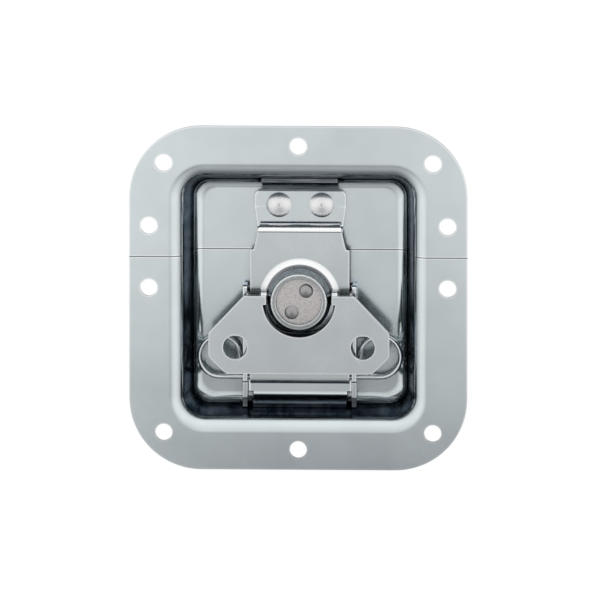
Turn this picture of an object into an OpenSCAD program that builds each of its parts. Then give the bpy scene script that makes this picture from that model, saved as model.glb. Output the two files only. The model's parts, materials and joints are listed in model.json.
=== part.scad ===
// Recessed butterfly latch in a two-part pressed dish, closed and lying on its back.
// X runs across the latch, Y towards the keeper, Z out of the dish.
// The origin is the middle of the flange in plan, level with the ends of the rivet tails.

/* [Dish] */
// Width of the flange beside the recess
band_w = 11.9; // [11:0.1:16]
// Width of the flange above and below the recess
band_h = 11.3; // [11:0.1:16]
// Corner radius of the flange
flange_corner_r = 22; // [16:0.5:26]
// Thickness of the dish sheet
dish_sheet = 1.2; // [1:0.1:1.6]
// Depth from the flange's front to the floor
dish_depth = 18; // [17:0.5:24]
// Corner radius of the floor's flat
floor_corner_r = 4.3; // [3:0.1:6]
// Inside radius of the bend from floor to wall
floor_bend_r = 3.4; // [2.6:0.1:4]
// Radius of the bend from wall to flange
mouth_bend_r = 5; // [3.5:0.1:6]
// Sideways run from the floor's flat to the flange's flat
wall_run = 10.2; // [9:0.1:11]
// Growth of the corner radius for each millimetre of run
corner_growth = 0.35; // [0.2:0.05:0.6]
// Room between the handle's wings and the edge of the floor's flat
wing_room = 1.8; // [1.6:0.1:5]
// Room between the knuckle and the edge of the floor's flat
knuckle_room = 3.1; // [2.8:0.1:6]
// Distance of the parting line below the keeper's lip
parting_drop = 6.9; // [6:0.1:9]
// Gap between the two halves of the dish
parting_gap = 0.3; // [0.2:0.05:0.6]

/* [Mounting holes] */
// Diameter of the holes for the case rivets
hole_d = 5.2; // [4:0.1:6]
// Distance of the corner holes from the flange's sides
corner_hole_side = 10.5; // [9.5:0.1:11.5]
// Distance of the corner holes from the flange's ends
corner_hole_end = 11.4; // [10:0.1:12]
// Distance of the side holes from the flange's sides
side_hole_side = 6; // [5:0.1:7]
// Spacing of the side holes, centred on the parting line
side_hole_y = 19; // [14:0.2:24]
// Distance of the end holes from the flange's ends
end_hole_end = 6.2; // [5:0.1:7]

/* [Rivets] */
// Height of the rivet tails behind the dish
tail_h = 1; // [0.6:0.1:1.6]
// Radius of the rivet tails
tail_r = 2.4; // [2:0.1:3]
// Radius of the rivet shanks
shank_r = 1.6; // [1.2:0.1:1.8]
// Radius of the keeper rivets' domes
dome_r = 3.8; // [3:0.1:4.2]
// Height of the keeper rivets' domes
dome_h = 1.9; // [1.4:0.1:2]
// Radius of the flat heads in the channel
flat_head_r = 2.2; // [2:0.1:2.4]
// Height of the flat heads in the channel
flat_head_h = 1; // [0.6:0.1:1.2]

/* [Keeper] */
// Thickness of the keeper sheet
keeper_sheet = 1.2; // [1:0.1:1.4]
// Width of the keeper plate
keeper_w = 27.8; // [26:0.2:32]
// How far the lip is narrower on each side
keeper_lip_in = 0.9; // [0.5:0.1:1.4]
// How far the flange on the dish wall is narrower on each side
keeper_flange_in = 2.3; // [2.3:0.1:5]
// Reach of the keeper from the edge of the floor's flat to its lip
keeper_reach = 11.8; // [11:0.1:14]
// Height of the flange on the dish wall above the floor
keeper_flange_z = 7.6; // [6:0.1:10]
// Radius of the keeper plate's corners
keeper_corner_r = 2.3; // [1.5:0.1:3]
// Radius where the keeper's sides begin to narrow
keeper_side_r = 4; // [2:0.5:6]
// Inside radius of the bend under the lip
keeper_bend_r = 0.8; // [0.5:0.1:1]
// Distance of the keeper rivets from the plate's sides
keeper_rivet_side = 7.4; // [6:0.1:8]
// Distance of the keeper rivets from the edge of the floor's flat
keeper_rivet_edge = 4.8; // [4.6:0.1:5.4]

/* [Guide channel] */
// Thickness of the channel sheet
channel_sheet = 1.4; // [1.2:0.1:1.6]
// Height of the side walls' front edges over the claw's face
guide_over = 1.4; // [0.8:0.1:1.8]
// Drop of those edges beside the knuckle
guide_end_drop = 1; // [0.6:0.1:1.6]
// Distance of the channel's upper end from the rotor axis
guide_top_y = 4.3; // [4:0.1:6]
// Width of the tray's tongue round the washer's hole
tongue_w = 0.6; // [0.4:0.1:2]
// Inside radius of the channel's bends
channel_bend_r = 0.8; // [0.6:0.1:1]
// Distance of the upper channel rivets above the rotor axis
channel_rivet_upper_y = 1.7; // [1.6:0.1:1.9]
// Distance of the lower channel rivets below the rotor axis
channel_rivet_lower_y = 13; // [11:0.2:13.4]

/* [Claw] */
// Thickness of the claw sheet
claw_sheet = 1.2; // [1:0.1:1.4]
// Width of the claw beside the collar
claw_side = 2.95; // [2.5:0.05:4]
// How far the claw's head steps in on each side
claw_step_in = 1.35; // [1:0.05:1.6]
// Height of the slope at that step
claw_step_h = 1; // [0.6:0.1:1.4]
// How far the head narrows from its step to its hook on each side
claw_taper = 1.8; // [1.4:0.1:2.4]
// Distance from the step to the hook's outer face
claw_head_h = 6.7; // [6:0.1:7.5]
// Distance of the hook's outer face above the rotor axis
claw_hook_y = 22.7; // [20:0.1:28]
// Outside radius of the hook's bend
claw_hook_r = 2.2; // [1.8:0.1:2.4]
// Depth of the hook below the claw's underside
claw_hook_h = 1.9; // [1.5:0.1:1.9]
// Distance of the knuckle below the rotor axis
knuckle_y = 24.5; // [22:0.1:28]
// Height of the collar round the rotor
collar_h = 0.8; // [0.4:0.1:1]
// Width of the collar, flat and slope together
collar_w = 1.9; // [1.2:0.1:2.4]
// Width of the collar's flat
collar_flat_w = 0.4; // [0.2:0.1:0.8]

/* [Wire spring] */
// Diameter of the spring wire
wire_d = 1.5; // [1.2:0.1:1.6]
// How far the coils reach out over the bend of the dish's floor
coil_reach = 2.05; // [1.5:0.05:2.1]
// Drop of the wire for each turn of a coil
coil_pitch = 1.65; // [1.6:0.05:1.8]

/* [Rotor] */
// Throw of the eccentric
throw = 3; // [2.6:0.1:3.1]
// Radius of the eccentric
eccentric_r = 7; // [6.8:0.1:7.4]
// Radius of the cam's foot that turns in the channel
spigot_r = 6; // [5.6:0.1:6.4]
// Radius of the cam's bearing flange
cam_flange_r = 9.2; // [8:0.1:10]
// Thickness of the cam's bearing flange
cam_flange_t = 3.5; // [3.2:0.1:4]
// Radius of the drum
drum_r = 9.7; // [9.4:0.05:11]
// Step from the drum in to its rim
rim_step = 1.2; // [0.8:0.1:1.6]
// Width of the rim round the core
rim_w = 1.6; // [1.2:0.1:2]
// Height of the rim over the handle's front face
rim_over = 1.5; // [0.8:0.1:2]
// Height of the drum's shoulder over the hinge pins
shoulder_over = 1.8; // [1.6:0.1:2]
// Depth of the recess in the drum's face
face_recess = 1.4; // [0.8:0.1:1.8]
// Radius of the retaining washer
washer_r = 8.5; // [7.8:0.1:9]
// Thickness of the retaining washer
washer_t = 1; // [0.8:0.1:1]
// Place of a spindle rivet, across and up from the axis
spindle_xy = [2.2, 3.3];
// Radius of the spindle rivets' shanks
spindle_r = 1.1; // [0.9:0.05:1.15]
// Radius of the spindle rivets' heads
spindle_head_r = 2.15; // [1.9:0.05:2.3]
// Height of the spindle rivets' heads
spindle_head_h = 0.9; // [0.6:0.1:1.2]
// Height of the spindle rivets' tails behind the washer
spindle_tail_h = 0.5; // [0.3:0.1:0.8]

/* [Handle] */
// Thickness of the handle sheet
handle_sheet = 1.6; // [1.4:0.1:1.8]
// Height of the handle's front face over the hinge pins
handle_rise = 3.7; // [3.6:0.1:4.2]
// Width of the handle across its wings
handle_w = 55.2; // [50:0.2:62]
// Width of the handle's upper edge
handle_top_w = 33.6; // [32:0.2:36]
// How far the lower edge is shorter on each side
handle_bottom_in = 5.3; // [4:0.1:7]
// Distance of the handle's upper edge above the axis
handle_top_y = 1.6; // [1.3:0.1:1.8]
// Distance of the handle's lower edge below the axis
handle_bottom_y = 22.4; // [21:0.1:23]
// Distance of the wings' upper corners below the axis
wing_upper_y = 9.8; // [8:0.1:11]
// Distance of the wings' lower corners below the axis
wing_lower_y = 17.2; // [15:0.1:18]
// Radius of the handle's upper corners and of the wings' upper corners
wing_upper_r = 2; // [1:0.1:3]
// Radius of the wings' lower corners
wing_lower_r = 3; // [2:0.1:4]
// Radius of the handle's lower corners
handle_bottom_r = 4; // [2:0.1:6]
// Gap between the drum and the handle's cut-out
cutout_gap = 1.4; // [1.1:0.1:2]
// Distance of the arms' inner corners below the axis
arm_step_y = 1.05; // [0.8:0.05:1.4]
// Radius of the finger holes
finger_hole_r = 3.65; // [3:0.05:4.2]
// Distance of the finger holes from the wings' tips
finger_hole_in = 8.1; // [7:0.1:9]
// Distance of the finger holes below the axis
finger_hole_y = 14.2; // [13:0.1:15]

/* [Hinge] */
// Radius of the hinge pins
pin_r = 1; // [0.9:0.05:1.05]
// Distance of the hinge pins above the rotor axis
pin_y = 1.2; // [1:0.1:1.4]
// Thickness of the hinge pins' heads
pin_head_t = 0.6; // [0.4:0.1:0.8]
// Step from a hinge pin out to its head
pin_head_over = 0.5; // [0.3:0.1:0.5]
// How deep the hinge pins go into the core
pin_grip = 2; // [1.5:0.1:2.5]
// Radius of the eyes round the pins
lug_r = 1.75; // [1.6:0.05:1.8]
// Thickness of the torsion springs' wire
torsion_d = 0.72; // [0.6:0.02:0.74]
// Turns of each torsion spring
torsion_turns = 4; // [3:1:4]
// Length of the leg that lies under the handle
torsion_leg = 8; // [5:0.5:10]
// Height of the inner leg below the hinge pin
torsion_drop = 0.6; // [0.4:0.1:0.8]

/* [Clearances] */
// Between pieces that slide or turn past each other
slide_gap = 0.3; // [0.25:0.05:0.3]
// Beside the claw in the channel
side_gap = 0.8; // [0.5:0.05:0.9]
// Between the coils and the channel's walls
coil_gap = 0.2; // [0.15:0.05:0.4]
// Between the collar and the eyes of the handle
lug_gap = 0.35; // [0.3:0.05:0.6]
// Radial clearance of a pin that turns in its hole
running_gap = 0.05; // [0.03:0.01:0.08]
// Between faces that bear on each other and turn
bearing_gap = 0.1; // [0.05:0.01:0.15]
// Between a folded flange and the dish wall behind it
seat_gap = 0.15; // [0.1:0.05:0.3]
// Extra height of the claw's slot over the eccentric
yoke_gap = 0.75; // [0.7:0.05:0.8]

/* [Hidden] */
$fn = 64;
eps = 0.01;
floor_bend_steps = 4;
mouth_bend_steps = 6;
corner_steps = 8;

// Heights above the floor, from the channel's sheet up to the drum's rim
cam_flange_z = channel_sheet + bearing_gap;
eccentric_z = cam_flange_z + cam_flange_t;
claw_under_z = eccentric_z + slide_gap;
claw_z = claw_under_z + claw_sheet;
drum_z = claw_z + slide_gap;
guide_h = claw_z + guide_over;
guide_end_h = guide_h - guide_end_drop;
pin_z = claw_z + collar_h + lug_gap + lug_r;
handle_z = pin_z + handle_rise;
shoulder_z = pin_z + shoulder_over;
rim_z = handle_z + rim_over;
face_z = rim_z - face_recess;
washer_z = -bearing_gap - washer_t;

// Widths, from the rotor out to the dish
travel = 2 * throw;
slot_r = eccentric_r + yoke_gap;
slot_half_w = throw + eccentric_r + slide_gap;
rim_r = drum_r - rim_step;
core_r = rim_r - rim_w;
collar_bore_r = max(drum_r + 2 * slide_gap, slot_half_w);
claw_w = 2 * (collar_bore_r + collar_w + claw_side);
claw_head_w = claw_w - 2 * claw_step_in;
claw_hook_w = claw_head_w - 2 * claw_taper;
channel_inner_w = claw_w + 2 * side_gap;
channel_outer_w = channel_inner_w + 2 * channel_sheet;
channel_rivet_x = cam_flange_r + flat_head_r + 2 * slide_gap;
cutout_r = drum_r + cutout_gap;
handle_bottom_w = handle_w - 2 * handle_bottom_in;
finger_hole_x = handle_w / 2 - finger_hole_in;
lug_x = drum_r + slide_gap;
coil_start_x = lug_x + handle_sheet + slide_gap / 2;
torsion_r = pin_r + running_gap + torsion_d / 2;
torsion_pitch = torsion_d + 4 * eps;
pin_start_x = core_r - pin_grip;
pin_head_x = coil_start_x + (torsion_turns + 1) * torsion_pitch;
floor_w = handle_w + 2 * wing_room;
flange_w = floor_w + 2 * (wall_run + band_w);
coil_r = (floor_w / 2 + coil_reach - channel_outer_w / 2 - coil_gap - wire_d) / 2;
coil_x = floor_w / 2 + coil_reach - wire_d / 2 - coil_r;

// Places up and down, from the knuckle to the keeper, with the flange's middle at zero
knuckle_bore_r = wire_d / 2 + running_gap;
knuckle_r = knuckle_bore_r + claw_sheet;
below_axis = knuckle_y + knuckle_r + knuckle_room;
above_axis = claw_hook_y - claw_sheet - slide_gap + keeper_reach;
floor_h = below_axis + above_axis;
flange_h = floor_h + 2 * (wall_run + band_h);
axis_y = below_axis - floor_h / 2;
wire_y = axis_y - knuckle_y;
wire_z = claw_z - knuckle_r;
hook_y = axis_y + claw_hook_y;
lip_y = hook_y - claw_sheet - slide_gap;
parting_y = lip_y - parting_drop;
keeper_rivet_x = keeper_w / 2 - keeper_rivet_side;
keeper_rivet_y = floor_h / 2 - keeper_rivet_edge;
channel_rivets = [
    for (y = [channel_rivet_upper_y, -channel_rivet_lower_y], x = [-1, 1])
    [x * channel_rivet_x, axis_y + y]
];

floor_z = tail_h + dish_sheet;
wall_rise = dish_depth - mouth_bend_r - floor_bend_r;
wall_draft = acos((mouth_bend_r + floor_bend_r) / norm([wall_run, wall_rise])) - atan2(wall_rise, wall_run);
wall_top_run = wall_run - mouth_bend_r * cos(wall_draft);

// Where a torsion spring's inner leg crosses to the drum: below the pin in plan, and lower than the pin
leg_place = [axis_y + pin_y - lug_r - torsion_d / 2 - slide_gap, floor_z + pin_z - torsion_drop];

// Points of a polygon whose corners [x, y, radius] are rounded with arcs
function rounded(corners, steps = 8) = [
    for (i = [0:len(corners) - 1])
    let (
        here = [corners[i].x, corners[i].y],
        before = corners[(i + len(corners) - 1) % len(corners)],
        after = corners[(i + 1) % len(corners)],
        to_before = unit([before.x, before.y] - here),
        to_after = unit([after.x, after.y] - here),
        half = acos(to_before * to_after) / 2,
        r = corners[i].z,
        middle = here + unit(to_before + to_after) * r / sin(half),
        start = here + to_before * r / tan(half) - middle,
        turn = (to_before.x * to_after.y - to_before.y * to_after.x < 0 ? 1 : -1) * (180 - 2 * half)
    )
    each r == 0 ? [here] : [for (k = [0:steps]) middle + turned(start, turn * k / steps)]
];
function unit(v) = v / norm(v);
function turned(v, angle) = [v.x * cos(angle) - v.y * sin(angle), v.x * sin(angle) + v.y * cos(angle)];

// The dish wall's section as [run, shift, height]. Shift is what a layer behind the front adds to the run
function dish_section(layer) = [
    for (k = [0:floor_bend_steps])
    let (angle = -90 + (90 - wall_draft) * k / floor_bend_steps)
    [
        floor_bend_r * cos(angle),
        layer * cos(angle),
        floor_bend_r + (floor_bend_r + layer) * sin(angle)
    ],
    for (k = [0:mouth_bend_steps])
    let (angle = 180 - wall_draft - (90 - wall_draft) * k / mouth_bend_steps)
    [
        wall_run + mouth_bend_r * cos(angle),
        -layer * cos(angle),
        dish_depth - mouth_bend_r + (mouth_bend_r - layer) * sin(angle)
    ]
];

// Corner radius of the recess at a run from the floor's flat
function recess_corner_r(run) =
    floor_corner_r + corner_growth * min(run, wall_top_run) + max(0, run - wall_top_run);

// One level of the recess: a rounded rectangle
function recess_ring(step, z) =
    let (
        run = step[0] + step[1],
        r = recess_corner_r(step[0]) + step[1]
    )
    [
        for (corner = [[1, 1], [-1, 1], [-1, -1], [1, -1]], k = [0:corner_steps])
        let (
            start = corner.y > 0 ? (corner.x > 0 ? 0 : 90) : (corner.x < 0 ? 180 : 270),
            angle = start + 90 * k / corner_steps
        )
        [
            corner.x * (floor_w / 2 + run - r) + r * cos(angle),
            corner.y * (floor_h / 2 + run - r) + r * sin(angle),
            z
        ]
    ];

// A closed solid through rings that have the same number of points, lowest first
module loft(rings) {
    n = len(rings[0]);
    top = (len(rings) - 1) * n;
    sides = [
        for (level = [0:len(rings) - 2], i = [0:n - 1])
        let (a = level * n + i, b = level * n + (i + 1) % n)
        each [[a, a + n, b + n], [a, b + n, b]]
    ];
    polyhedron(
        points = [for (ring = rings) each ring],
        faces = concat([[for (i = [0:n - 1]) i]], [[for (i = [n - 1:-1:0]) top + i]], sides)
    );
}

// A round wire swept along points, closed at both ends
module wire(path, r, sides = 10) {
    last = len(path) - 1;
    rings = [
        for (i = [0:last])
        let (
            along = unit(path[min(i + 1, last)] - path[max(i - 1, 0)]),
            side = unit(cross(abs(along.z) > 0.7 ? [1, 0, 0] : [0, 0, 1], along)),
            up = cross(along, side)
        )
        [for (k = [sides - 1:-1:0]) path[i] + r * (cos(360 * k / sides) * up + sin(360 * k / sides) * side)]
    ];
    loft(rings);
}

// Plan outlines become sheet, and side outlines run across the latch
module sheet(z, thickness) {
    translate([0, 0, floor_z + z]) linear_extrude(thickness) children();
}
module across(width) {
    translate([0, 0, floor_z]) rotate([90, 0, 90]) linear_extrude(width, center = true) children();
}

// A quarter or less of a bent sheet, seen from the side
module bend(inner_r, thickness, from, to) {
    reach = 3 * (inner_r + thickness);
    intersection() {
        difference() {
            circle(inner_r + thickness);
            circle(inner_r);
        }
        polygon([[0, 0], reach * [cos(from), sin(from)], reach * [cos(to), sin(to)]]);
    }
}

// Side view of a flange that turns up along the dish wall, from the floor's flat
module wall_flange(thickness, top_z) {
    leg = (top_z - floor_bend_r) / cos(wall_draft) + floor_bend_r * sin(wall_draft) / cos(wall_draft);
    translate([floor_h / 2 - seat_gap, floor_bend_r]) {
        bend(floor_bend_r - thickness, thickness, -90, -wall_draft);
        rotate(-wall_draft) translate([floor_bend_r - thickness, 0]) square([thickness, leg]);
    }
}

module mounting_holes() {
    corner = [flange_w / 2 - corner_hole_side, flange_h / 2 - corner_hole_end];
    side_x = flange_w / 2 - side_hole_side;
    end_y = flange_h / 2 - end_hole_end;
    places = [
        for (x = [-1, 1], y = [-1, 1]) [x * corner.x, y * corner.y],
        for (x = [-1, 1], y = [-1, 1]) [x * side_x, parting_y + y * side_hole_y / 2],
        for (y = [-1, 1]) [0, y * end_y]
    ];
    for (place = places)
        translate([place.x, place.y, floor_z + dish_depth - 2 * dish_sheet])
            cylinder(d = hole_d, h = 3 * dish_sheet);
}

module flange_outline() {
    x = flange_w / 2 - flange_corner_r;
    y = flange_h / 2 - flange_corner_r;
    square([2 * x, flange_h], center = true);
    square([flange_w, 2 * y], center = true);
    for (sx = [-1, 1], sy = [-1, 1])
        translate([sx * x, sy * y]) circle(flange_corner_r, $fn = 96);
}

// The whole pressing, before it is parted
module dish() {
    front = dish_section(0);
    back = dish_section(dish_sheet);
    above = dish_depth + dish_sheet;
    difference() {
        union() {
            sheet(dish_depth - dish_sheet, dish_sheet) flange_outline();
            translate([0, 0, floor_z])
                loft([
                    for (step = back) recess_ring(step, step[2]),
                    recess_ring(back[len(back) - 1], dish_depth - dish_sheet / 2)
                ]);
        }
        translate([0, 0, floor_z])
            loft([
                for (step = front) recess_ring(step, step[2]),
                recess_ring(front[len(front) - 1], above)
            ]);
        mounting_holes();
    }
}

module parted(side) {
    reach = max(flange_w, flange_h);
    near = parting_gap / 2;
    intersection() {
        dish();
        translate([-reach, parting_y + (side > 0 ? near : -near - 2 * reach), -eps])
            cube([2 * reach, 2 * reach, floor_z + dish_depth + 1]);
    }
}

module dish_lower() {
    color("lightsteelblue") difference() {
        parted(-1);
        translate([0, axis_y, 0]) cylinder(r = washer_r + slide_gap, h = floor_z + 1);
        for (place = channel_rivets)
            translate([place.x, place.y, 0]) cylinder(r = shank_r, h = floor_z + 1);
    }
}

module dish_upper() {
    color("lightsteelblue") difference() {
        parted(1);
        for (side = [-1, 1])
            translate([side * keeper_rivet_x, keeper_rivet_y, 0]) cylinder(r = shank_r, h = floor_z + 1);
    }
}

// Flat keeper with a lip that the claw hooks over and a flange that backs it on the dish wall
module keeper_plate() {
    lip_top = claw_under_z - slide_gap;
    bend_y = lip_y + keeper_bend_r;
    edge_y = floor_h / 2 - seat_gap;
    taper_y = (bend_y + edge_y) / 2;
    half = keeper_w / 2;
    lip_half = half - keeper_lip_in;
    plan = rounded([
        [-lip_half, lip_y - 2 * keeper_sheet, 0],
        [lip_half, lip_y - 2 * keeper_sheet, 0],
        [lip_half, lip_y, 0],
        [half, taper_y, keeper_side_r],
        [half, edge_y - eps, keeper_corner_r],
        [-half, edge_y - eps, keeper_corner_r],
        [-half, taper_y, keeper_side_r],
        [-lip_half, lip_y, 0]
    ]);
    color("silver") difference() {
        union() {
            intersection() {
                across(keeper_w + 2) {
                    translate([bend_y, 0]) square([edge_y - bend_y, keeper_sheet]);
                    translate([bend_y, keeper_sheet + keeper_bend_r])
                        bend(keeper_bend_r, keeper_sheet, 180, 270);
                    translate([lip_y - keeper_sheet, keeper_sheet + keeper_bend_r])
                        square([keeper_sheet, lip_top - keeper_sheet - keeper_bend_r]);
                }
                sheet(-eps, lip_top + 1) polygon(plan);
            }
            across(keeper_w - 2 * keeper_flange_in) {
                translate([edge_y - keeper_corner_r, 0]) square([keeper_corner_r, keeper_sheet]);
                wall_flange(keeper_sheet, keeper_flange_z);
            }
        }
        for (side = [-1, 1])
            translate([side * keeper_rivet_x, keeper_rivet_y, 0])
                cylinder(r = shank_r, h = floor_z + 2 * keeper_sheet);
    }
}

// A dome over a shank and a flattened tail behind the dish
module keeper_rivet(side) {
    dome_sphere_r = (dome_r * dome_r + dome_h * dome_h) / (2 * dome_h);
    color("gainsboro") translate([side * keeper_rivet_x, keeper_rivet_y, 0])
        rotate_extrude() {
            square([shank_r, floor_z + keeper_sheet]);
            square([tail_r, tail_h]);
            translate([0, floor_z + keeper_sheet]) intersection() {
                translate([0, dome_h - dome_sphere_r]) circle(dome_sphere_r);
                square([dome_r, dome_h]);
            }
        }
}

// Side view of one guide wall, without its bend
module guide_wall_profile() {
    wire_slot_r = wire_d / 2 + slide_gap / 2;
    step_y = wire_y - wire_slot_r;
    chamfer = guide_over / 2;
    end_y = -floor_h / 2 - wall_run;
    clear = dish_section(-seat_gap);
    wall_line = [for (step = clear) [-(floor_h / 2 + step[0] + step[1]), step[2] - seat_gap]];
    difference() {
        intersection() {
            polygon([
                [axis_y + guide_top_y, 0],
                [axis_y + guide_top_y, guide_h - chamfer],
                [axis_y + guide_top_y - chamfer, guide_h],
                [step_y, guide_h],
                [step_y - guide_end_drop / 2, guide_end_h + guide_end_drop / 4],
                [end_y, guide_end_h],
                [end_y, 0]
            ]);
            polygon(concat([[axis_y + guide_top_y, 0]], wall_line, [[axis_y + guide_top_y, dish_depth]]));
        }
        for (y = [wire_y, wire_y + travel]) translate([y, wire_z]) circle(wire_slot_r);
        translate([wire_y, wire_z - wire_slot_r]) square([travel, 2 * wire_slot_r]);
    }
}

// Tray with two guide walls, slotted for the wire, and an end flange on the lower dish wall
module guide_channel() {
    inner = channel_inner_w / 2;
    flat = inner - channel_bend_r;
    end_y = -floor_h / 2 + seat_gap;
    top_y = axis_y + guide_top_y;
    color("silver") difference() {
        union() {
            sheet(0, channel_sheet) {
                translate([-flat, end_y]) square([2 * flat, top_y - end_y]);
                translate([0, axis_y]) circle(washer_r + slide_gap + tongue_w);
            }
            for (side = [-1, 1]) mirror([side < 0 ? 1 : 0, 0, 0]) {
                translate([flat, top_y, floor_z + channel_sheet + channel_bend_r]) rotate([90, 0, 0])
                    linear_extrude(top_y - end_y) bend(channel_bend_r, channel_sheet, -90, 0);
                intersection() {
                    translate([inner + channel_sheet / 2, 0, 0]) across(channel_sheet) guide_wall_profile();
                    translate([0, -flange_h / 2, floor_z + channel_sheet + channel_bend_r])
                        cube([flange_w, flange_h, dish_depth]);
                }
            }
            mirror([0, 1, 0]) across(2 * (flat - channel_bend_r)) wall_flange(channel_sheet, guide_end_h);
        }
        translate([0, axis_y, 0]) cylinder(r = spigot_r + running_gap, h = floor_z + 2 * channel_sheet);
        for (place = channel_rivets)
            translate([place.x, place.y, 0]) cylinder(r = shank_r, h = floor_z + 2 * channel_sheet);
    }
}

module channel_rivet(number) {
    place = channel_rivets[number - 1];
    color("darkgray") translate([place.x, place.y, 0]) rotate_extrude() {
        square([shank_r, floor_z + channel_sheet]);
        square([tail_r, tail_h]);
        translate([0, floor_z + channel_sheet]) square([flat_head_r, flat_head_h]);
    }
}

// Sloping collar round a slot as long as the claw's travel
module collar() {
    profile = [
        [collar_bore_r, -eps],
        [collar_bore_r, collar_h],
        [collar_bore_r + collar_flat_w, collar_h],
        [collar_bore_r + collar_w, -eps]
    ];
    translate([0, axis_y, floor_z + claw_z]) {
        rotate_extrude(angle = 180) polygon(profile);
        translate([0, -travel, 0]) rotate([0, 0, 180]) rotate_extrude(angle = 180) polygon(profile);
        for (side = [-1, 1]) mirror([side < 0 ? 1 : 0, 0, 0])
            rotate([90, 0, 0]) linear_extrude(travel) polygon(profile);
    }
}

// Sliding claw: hook at the top, yoke slot for the eccentric, knuckle rolled round the wire
module claw_plate() {
    step_y = hook_y - claw_head_h;
    half = claw_w / 2;
    head = claw_head_w / 2;
    nick = claw_step_in / 4;
    slot_run = slot_half_w - slot_r;
    plan = rounded([
        [-half, wire_y - 2 * knuckle_r, 0],
        [half, wire_y - 2 * knuckle_r, 0],
        [half, step_y - claw_step_h - nick, nick],
        [head + nick, step_y - claw_step_h, nick],
        [head, step_y, nick],
        [claw_hook_w / 2, hook_y + claw_sheet, 0],
        [-claw_hook_w / 2, hook_y + claw_sheet, 0],
        [-head, step_y, nick],
        [-head - nick, step_y - claw_step_h, nick],
        [-half, step_y - claw_step_h - nick, nick]
    ]);
    color("silver") difference() {
        union() {
            intersection() {
                across(claw_w) {
                    translate([wire_y, claw_under_z]) square([hook_y - claw_hook_r - wire_y, claw_sheet]);
                    translate([hook_y - claw_hook_r, claw_z - claw_hook_r])
                        bend(claw_hook_r - claw_sheet, claw_sheet, 0, 90);
                    translate([hook_y - claw_sheet, claw_under_z - claw_hook_h])
                        square([claw_sheet, claw_hook_h + claw_sheet - claw_hook_r]);
                }
                sheet(0, claw_z + 1) polygon(plan);
            }
            across(claw_w) difference() {
                translate([wire_y, wire_z]) circle(knuckle_r);
                translate([wire_y, wire_z + knuckle_bore_r - slide_gap]) square([knuckle_r + 1, slide_gap]);
            }
            collar();
        }
        translate([0, wire_y, floor_z + wire_z]) rotate([0, 90, 0])
            cylinder(r = knuckle_bore_r, h = claw_w + 2, center = true);
        translate([0, axis_y - throw, floor_z]) {
            linear_extrude(claw_z) {
                for (side = [-1, 1]) translate([side * slot_run, 0]) circle(slot_r);
                square([2 * slot_run, 2 * slot_r], center = true);
            }
        }
    }
}

// Straight through the knuckle, then a turn and a half down each side and a short leg to the wall
module wire_spring() {
    turns = 1.5;
    steps = 30;
    centre_y = wire_y + coil_r;
    leg_end_x = channel_outer_w / 2 + slide_gap;
    half = [
        for (k = [0:steps])
        let (angle = -90 + 360 * turns * k / steps)
        [
            coil_x + coil_r * cos(angle),
            centre_y + coil_r * sin(angle),
            floor_z + wire_z - coil_pitch * turns * k / steps
        ],
        [leg_end_x, centre_y + coil_r, floor_z + wire_z - coil_pitch * turns]
    ];
    other_half = [for (k = [len(half) - 1:-1:0]) [-half[k].x, half[k].y, half[k].z]];
    color("whitesmoke") wire(concat(other_half, half), wire_d / 2);
}

module spindle_holes() {
    for (side = [-1, 1])
        translate([side * spindle_xy.x, side * spindle_xy.y, -floor_z])
            cylinder(r = spindle_r, h = rim_z + 2 * floor_z);
}

// One sintered piece: foot, bearing flange, eccentric and the core that carries the drum
module eccentric_cam() {
    color("rosybrown") translate([0, axis_y, floor_z]) difference() {
        union() {
            translate([0, 0, -bearing_gap]) cylinder(r = spigot_r, h = cam_flange_z + 2 * bearing_gap);
            translate([0, 0, cam_flange_z]) cylinder(r = cam_flange_r, h = eccentric_z - cam_flange_z);
            translate([0, -throw, eccentric_z]) cylinder(r = eccentric_r, h = drum_z - eccentric_z);
            translate([0, 0, drum_z]) cylinder(r = core_r, h = face_z - drum_z);
        }
        spindle_holes();
        hinge_holes(pin_r);
    }
}

module hinge_holes(r) {
    for (side = [-1, 1])
        translate([side * pin_start_x, pin_y, pin_z]) rotate([0, side * 90, 0]) cylinder(r = r, h = drum_r);
}

// Turned drum with a rounded rim, pressed on the core
module rotor_drum() {
    color("silver") translate([0, axis_y, floor_z]) difference() {
        rotate_extrude($fn = 96) polygon(rounded([
            [core_r, drum_z, 0],
            [drum_r, drum_z, rim_step / 4],
            [drum_r, shoulder_z, rim_step],
            [rim_r, rim_z, rim_w / 3],
            [core_r + rim_w / 8, rim_z, rim_w / 10],
            [core_r, face_z + face_recess / 2, 0]
        ], 4));
        hinge_holes(pin_r);
        for (side = [-1, 1])
            translate([side * drum_r, leg_place.x - axis_y, leg_place.y - floor_z]) rotate([0, side * -90, 0])
                cylinder(d = torsion_d + slide_gap / 2, h = rim_step + torsion_d);
    }
}

module retaining_washer() {
    color("gray") translate([0, axis_y, floor_z]) difference() {
        translate([0, 0, washer_z]) cylinder(r = washer_r, h = washer_t);
        spindle_holes();
    }
}

// Peened head in the drum's recess, shank through core, foot and washer, low tail behind
module spindle_rivet(side) {
    head_sphere_r = (pow(spindle_head_r, 2) + pow(spindle_head_h, 2)) / (2 * spindle_head_h);
    color("dimgray") translate([side * spindle_xy.x, axis_y + side * spindle_xy.y, floor_z])
        rotate_extrude() {
            translate([0, washer_z - spindle_tail_h]) {
                square([spindle_r, face_z - washer_z + spindle_tail_h]);
                square([spindle_head_r, spindle_tail_h]);
            }
            translate([0, face_z]) intersection() {
                translate([0, spindle_head_h - head_sphere_r]) circle(head_sphere_r);
                square([spindle_head_r, spindle_head_h]);
            }
        }
}

module hinge_pin(side) {
    length = pin_head_x - pin_start_x;
    color("gray") translate([side * pin_start_x, axis_y + pin_y, floor_z + pin_z]) rotate([0, side * 90, 0])
        rotate_extrude() {
            square([pin_r, length]);
            translate([0, length]) square([pin_r + pin_head_over, pin_head_t]);
        }
}

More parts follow.
